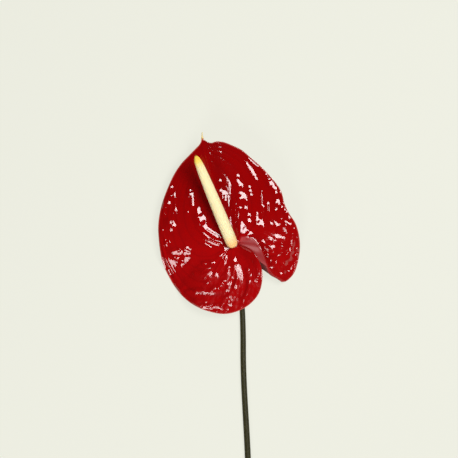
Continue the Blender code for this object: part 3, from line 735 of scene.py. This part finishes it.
# Doubles the sheet downwards into a closed blade, thin at its margin and thick at its collar and veins.
def thickenBlade(bm):
    layers = bm.verts.layers.float
    fromMargin, groove, under = layers["fromMargin"], layers["groove"], layers["under"]
    upper = list(bm.verts)
    normals = [vert.normal.copy() for vert in upper]
    bmesh.ops.extrude_face_region(bm, geom=list(bm.faces), use_keep_orig=True)
    shift, thin = spathe["collarShift"], spathe["marginThickness"]
    for vert, normal in zip(upper, normals):
        fromCollar = math.hypot(vert.co.x - shift[0], vert.co.y - shift[1]) - spathe["collarRadius"]
        inward = min(1.0, vert[fromMargin] / spathe["marginThinning"])
        body = thin + (spathe["thickness"] - thin) * inward + spathe["veinThickening"] * vert[groove]
        vert.co -= normal * (body + spathe["collarThickening"] * math.exp(-fromCollar / spathe["collarFade"]))
        vert.co.z = max(vert.co.z, 0.0)
        vert[under] = 1.0
    bmesh.ops.recalc_face_normals(bm, faces=bm.faces)


def makeSpathe():
    leftColumns, farColumns, nearColumns = spathe["columns"]
    columns = leftColumns + farColumns + nearColumns
    bm, u, v = gridSheet(columns, spathe["rows"])
    stops = (0.0, leftColumns / columns, (leftColumns + farColumns) / columns, 1.0)
    share = np.interp(u, stops, (-1.0, 0.0, spathe["nearShare"], 1.0))
    out = 1.0 - (1.0 - v) ** spathe["rowCrowding"]
    places, values = np.zeros((len(u), 3)), np.zeros((len(u), 4))
    for half, chosen in ((spathe["left"], share < 0.0), (spathe["right"], share >= 0.0)):
        made, *numbers = halfSheet(half, np.abs(share[chosen]), out[chosen])
        places[chosen], values[chosen] = made, np.column_stack(numbers)
    moveVerts(bm.verts, places)
    writeValues(bm, shineValues(share, out, places, *values.T))

    bm.verts.ensure_lookup_table()
    onTip = (v > 0.9999) & (np.abs(share) < spathe["tipShare"])
    addTail(bm, [bm.verts[i] for i in np.flatnonzero(onTip)])
    tip = bm.verts.layers.float["tip"]
    for vert in bm.verts:
        vert[tip] = float(smoothStep(vert.co.y, *spathe["tipSpan"]))
    bm.normal_update()
    if sum(face.normal.z for face in bm.faces) < 0.0:
        bmesh.ops.reverse_faces(bm, faces=bm.faces)
        bm.normal_update()
    thickenBlade(bm)
    finishPiece("spatheSkin", bm, glossyRed(), "spathe")


makeSpathe()
print("the spathe is made")


# the spadix: a tapered spike covered in florets

spadix = {
    "length": 88.0, "rise": 14.0, "turn": 22.6, "foot": (1.9, 0.0, 20.9),
    "radii": ((0, 1.8), (0.6, 2.9), (1.6, 3.9), (3.2, 4.6), (6, 4.95), (12, 5.1), (30, 5.0), (46, 4.75),
              (60, 4.35), (70, 3.95), (78, 3.5), (82.5, 3.0), (85.5, 2.3), (87.3, 1.4), (88, 0.6)),
    "floretsRound": 14,
    "floretLength": 2.0,
    "floretRise": 0.42,
    "fullFloretRadius": 4.0,  # florets are lower where the spike is thinner than this
    "cushionPower": 3.0,
    "dimpleDepth": 0.12,
    "dimpleSize": 0.28,
    # colours, and the shares of the length over which the ends turn
    "footPeach": (0.93, 0.55, 0.22),
    "cream": (0.93, 0.85, 0.52),
    "tipYellow": (0.95, 0.68, 0.04),
    "gapTan": (0.80, 0.50, 0.18),
    "dimpleGreen": (0.62, 0.62, 0.25),
    "peachSpan": (0.02, 0.16),
    "yellowSpan": (0.86, 0.97),
    "tints": {"gap": 0.55, "dimple": 0.35},
    "roughness": {"plain": 0.50, "gap": 0.15},
    "glow": 0.15,
    "glowDepth": (0.002, 0.0012, 0.0006),  # metres
    "columns": 168,
    "rows": 470,
}


def creamFlorets():
    material, wire, shader = newFinish("creamSpadix")
    along, gap, dimple = wire.value("along"), wire.value("gap"), wire.value("dimple")
    colour = along.between(*spadix["peachSpan"]).tint(spadix["footPeach"], spadix["cream"])
    colour = along.between(*spadix["yellowSpan"]).tint(colour, spadix["tipYellow"])
    colour = (gap * spadix["tints"]["gap"]).tint(colour, spadix["gapTan"])
    colour = (dimple * spadix["tints"]["dimple"]).tint(colour, spadix["dimpleGreen"])
    plug(colour, shader["Base Color"])
    plug(spadix["roughness"]["plain"] + spadix["roughness"]["gap"] * gap, shader["Roughness"])
    shader["Subsurface Weight"].default_value = spadix["glow"]
    shader["Subsurface Radius"].default_value = spadix["glowDepth"]
    return material


# Two directions square to a tube's axis.
def frameAlong(tangent):
    across = Vector((1.0, 0.0, 0.0))
    across = (across - tangent * across.dot(tangent)).normalized()
    return across, tangent.cross(across)


# Closes a sheet into a tube and caps it at both ends.
def closeTube(bm, firstEnd, lastEnd, seamGap=0.0005, endReach=8.0):
    bmesh.ops.remove_doubles(bm, verts=bm.verts, dist=seamGap)
    for centre in (firstEnd, lastEnd):
        edges = [edge for edge in bm.edges if edge.is_boundary]
        ends = [edge for edge in edges if (edge.verts[0].co - Vector(centre)).length < endReach]
        bmesh.ops.contextual_create(bm, geom=ends)
    bmesh.ops.recalc_face_normals(bm, faces=bm.faces)


def makeSpadix():
    bm, u, v = gridSheet(spadix["columns"], spadix["rows"])
    rise, turn = math.radians(spadix["rise"]), math.radians(spadix["turn"])
    axis = Vector((-math.sin(turn) * math.cos(rise), math.cos(turn) * math.cos(rise), math.sin(rise)))
    across, up = frameAlong(axis)
    stations, radii = zip(*spadix["radii"])
    along = spadix["length"] * v
    radius = np.interp(along, stations, radii)
    # florets stand in two sets of spiral rows that cross
    p = u * spadix["floretsRound"] + along / spadix["floretLength"]
    q = u * spadix["floretsRound"] - along / spadix["floretLength"]
    fromP, fromQ = np.abs(p - np.round(p)) * 2.0, np.abs(q - np.round(q)) * 2.0
    cushion = (1.0 - fromP ** spadix["cushionPower"]) * (1.0 - fromQ ** spadix["cushionPower"])
    dimple = np.exp(-((np.hypot(fromP, fromQ) / spadix["dimpleSize"]) ** 2))
    taper = np.minimum(1.0, radius / spadix["fullFloretRadius"])
    radius = radius + taper * (spadix["floretRise"] * (cushion - 0.5) - spadix["dimpleDepth"] * dimple)
    angle = 2.0 * math.pi * u
    places = (np.array(spadix["foot"]) + np.outer(along, axis) + np.outer(radius * np.cos(angle), across)
              + np.outer(radius * np.sin(angle), up))
    moveVerts(bm.verts, places)
    writeValues(bm, {"along": v, "gap": 1.0 - cushion, "dimple": dimple})
    foot = Vector(spadix["foot"])
    closeTube(bm, foot, foot + axis * spadix["length"])
    finishPiece("spadixFlorets", bm, creamFlorets(), "spadix")


makeSpadix()
print("the spadix is made")


# the stem: it lies along the floor and lifts the flower on its swollen top

stem = {
    "length": 330.0, "topRadius": 2.35, "cutRadius": 3.0,
    "topRun": ((10.4, -100, 2.62), (10.2, -75, 2.75), (9.2, -52, 3.4), (6.4, -31, 5.2), (2.8, -14.5, 7.6),
               (1.6, -3.4, 10.0), (1.0, 1.9, 12.5), (0.9, 3.4, 15.0)),
    # the free run bows sideways: most at this share of it, and a share of the bow is left at the cut end
    "bow": 4.5, "bowPlace": 0.45, "cutBowShare": 0.3,
    "clearance": 0.02, "cutSlant": 35.0,
    "buttonRadius": 3.55, "buttonHeight": 5.5, "buttonSwell": 0.7,
    "buttonDome": ((0.92, 0.4), (0.82, 0.7), (0.5, 1.2)),
    "ribs": 22, "ribRise": 0.05,
    "pithInset": 0.25, "pithRecess": 0.08,
    "olives": ((0.018, 0.015, 0.003), (0.030, 0.028, 0.006)),  # between the ribs, on them
    "speckOlive": (0.085, 0.075, 0.025),
    "topBrown": (0.10, 0.035, 0.012),
    "brownSpan": (0.93, 1.0),
    "speckScale": 700.0, "speckSpan": (0.55, 0.75), "speckTint": 0.5, "speckDepth": 0.3, "speckBump": 0.1,
    "roughness": {"plain": 0.34, "speck": 0.16, "pith": 0.55},
    "sheen": 0.28,
    "pithGreens": ((0.30, 0.32, 0.12), (0.62, 0.64, 0.38)),
    "pithScale": 1500.0, "pithSpan": (0.12, 0.40),
    "columns": 88, "rows": 420, "rowCrowding": 1.5,
}


def darkOlive():
    material, wire, shader = newFinish("darkOliveStem")
    speck = wire.noise(stem["speckScale"], 3.0)
    colour = wire.value("streak").tint(*stem["olives"])
    colour = (speck.between(*stem["speckSpan"]) * stem["speckTint"]).tint(colour, stem["speckOlive"])
    colour = wire.value("along").between(*stem["brownSpan"]).tint(colour, stem["topBrown"])
    plug(colour, shader["Base Color"])
    plug(stem["roughness"]["plain"] + stem["roughness"]["speck"] * speck, shader["Roughness"])
    shader["Specular IOR Level"].default_value = stem["sheen"]
    bump = wire.make("ShaderNodeBump", {}, {
        "Strength": stem["speckBump"], "Distance": stem["speckDepth"] * mm, "Height": speck})
    plug(bump, shader["Normal"])
    return material


def palePith():
    material, wire, shader = newFinish("palePithCut")
    cells = wire.make("ShaderNodeTexVoronoi", {}, {"Vector": wire.place(), "Scale": stem["pithScale"]})
    plug(cells.between(*stem["pithSpan"]).tint(*stem["pithGreens"]), shader["Base Color"])
    shader["Roughness"].default_value = stem["roughness"]["pith"]
    return material


# Centres and radii along the stem, from the cut end up.
def stemPath(steps):
    start = Vector(stem["topRun"][0])
    run = stem["length"] + start.y
    cut = (start.x + stem["bow"] * stem["cutBowShare"], start.y - run, stem["cutRadius"])
    middle = (start.x + stem["bow"], start.y - run * stem["bowPlace"], start.z)
    rows = np.vstack([cut, middle, np.array(stem["topRun"])])
    dense, along = smoothRows(rows, rows)
    share = 1.0 - (1.0 - np.linspace(0.0, 1.0, steps)) ** stem["rowCrowding"]
    centres = np.column_stack([np.interp(share * along[-1], along, dense[:, k]) for k in range(3)])
    body = stem["cutRadius"] + (stem["topRadius"] - stem["cutRadius"]) * share
    toTop = along[-1] * (1.0 - share)
    swell = smoothStep(stem["buttonHeight"] - toTop, 0.0, stem["buttonHeight"] * stem["buttonSwell"])
    centres[:, 2] = np.maximum(centres[:, 2], body + stem["clearance"])
    return centres, body + (stem["buttonRadius"] - body) * swell


def makeStem():
    dome = stem["buttonDome"]
    bm, u, v = gridSheet(stem["columns"], stem["rows"])
    steps = stem["rows"] + 1 - len(dome)
    centres, radii = stemPath(steps)
    tangents = np.gradient(centres, axis=0)
    tangents = tangents / np.linalg.norm(tangents, axis=1)[:, None]
    for share, lift in dome:
        centres = np.vstack([centres, centres[steps - 1] + tangents[steps - 1] * lift])
        radii = np.append(radii, radii[steps - 1] * share)
        tangents = np.vstack([tangents, tangents[steps - 1]])
    row = np.round(v * stem["rows"]).astype(int)
    axes = [frameAlong(Vector(tangent)) for tangent in tangents]
    acrossWay = np.array([axis[0] for axis in axes])[row]
    upWay = np.array([axis[1] for axis in axes])[row]
    angle = 2.0 * math.pi * u
    streak = 0.5 + 0.5 * np.cos(angle * stem["ribs"])
    radius = radii[row] - stem["ribRise"] * (1.0 - streak)
    side, rise = radius * np.cos(angle), radius * np.sin(angle)
    lean = np.where(row == 0, math.tan(math.radians(stem["cutSlant"])), 0.0)
    places = (centres[row] + acrossWay * side[:, None] + upWay * rise[:, None]
              + tangents[row] * (rise * lean)[:, None])
    moveVerts(bm.verts, places)
    writeValues(bm, {"streak": streak, "along": v})
    closeTube(bm, centres[0], centres[-1])
    lowHalf = [face for face in bm.faces if face.calc_center_median().y < -stem["length"] / 2]
    cutFace = max(lowHalf, key=lambda face: len(face.verts))
    bmesh.ops.inset_region(bm, faces=[cutFace], thickness=stem["pithInset"], depth=stem["pithRecess"])
    cutFace.material_index = 1
    piece = finishPiece("stemTube", bm, darkOlive(), "stem")
    piece.data.materials.append(palePith())


makeStem()
print("the stem is made")
